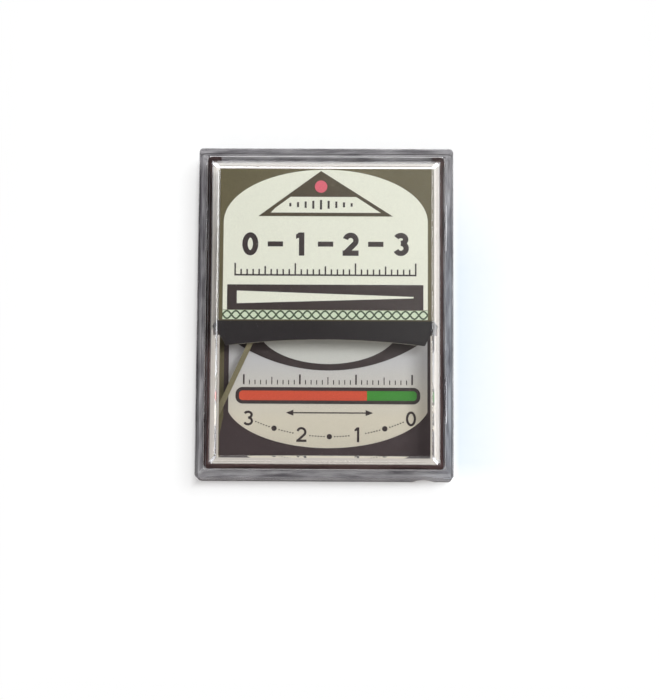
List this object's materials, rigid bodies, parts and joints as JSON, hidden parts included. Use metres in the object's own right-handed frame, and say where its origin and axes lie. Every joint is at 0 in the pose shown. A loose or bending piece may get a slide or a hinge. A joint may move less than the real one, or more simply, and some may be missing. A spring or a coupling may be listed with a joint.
{
  "type": "paint thickness gauge",
  "caption": "Pocket gauge for paint thickness: a clear two-part case with a folded face card, a curved scale and a magnet-driven needle that swings over it.",
  "frame": {"origin": "centre of the case's outline, on its back", "axes": "+Z out of the face through the window, +Y to the top of the face, +X to the reader's right"},
  "size_m": [0.05, 0.065, 0.011],
  "materials": {
    "clear_plastic": "clear, polished moulding",
    "olive_card": "printed card, dark olive, low sheen",
    "pale_card": "plain board, pale cream",
    "pale_ink": "printed, pale green-cream",
    "hatch_ink": "printed, dark lines on a pale ground",
    "dark_ink": "printed, dark brown",
    "red_ink": "printed, red",
    "green_ink": "printed, green",
    "grey_ink": "printed, warm grey",
    "bearing_brass": "turned, bright",
    "steel": "turned, plain",
    "spring_bronze": "rolled strip, bright",
    "needle_aluminium": "thin strip, painted grey",
    "magnet_ceramic": "sintered, dark grey"
  },
  "bodies": {
    "case": {"rear_case": "clear_plastic", "front_cover": "clear_plastic", "face_card": "olive_card", "card_mat": "pale_card", "arch_field": "pale_ink", "hatch_strip": "hatch_ink", "title_banner": "dark_ink", "sensor_triangle": "dark_ink", "sensor_panel": "pale_ink", "sensor_dot": "red_ink", "scale_card": "dark_ink", "scale_field": "grey_ink", "scale_arc": "dark_ink", "scale_crescent": "grey_ink", "bar_frame": "dark_ink", "red_zone": "red_ink", "green_zone": "green_ink", "scale_dots": "dark_ink", "rear_bearing": "bearing_brass", "hairspring": "spring_bronze", "spring_stud": "bearing_brass", "bridge": "bearing_brass", "front_bearing": "bearing_brass", "bridge_screws": "steel", "bias_magnet": "magnet_ceramic", "stop_pins": "steel"},
    "pointer": {"needle_arbor": "steel", "rotor_magnet": "magnet_ceramic", "needle_boss": "bearing_brass", "needle": "needle_aluminium", "counterweight": "bearing_brass", "spring_collet": "bearing_brass"}
  },
  "joints": [
    {"name": "needle_swing", "type": "hinge", "parent": "case", "child": "pointer", "pos_m": [-0.00095, 0.02465, 0.0046], "axis": [0, 0, 1], "range_deg": [0, 48.7], "stiffness_Nm_per_rad": 0.000002, "deforming": ["hairspring"]}
  ]
}
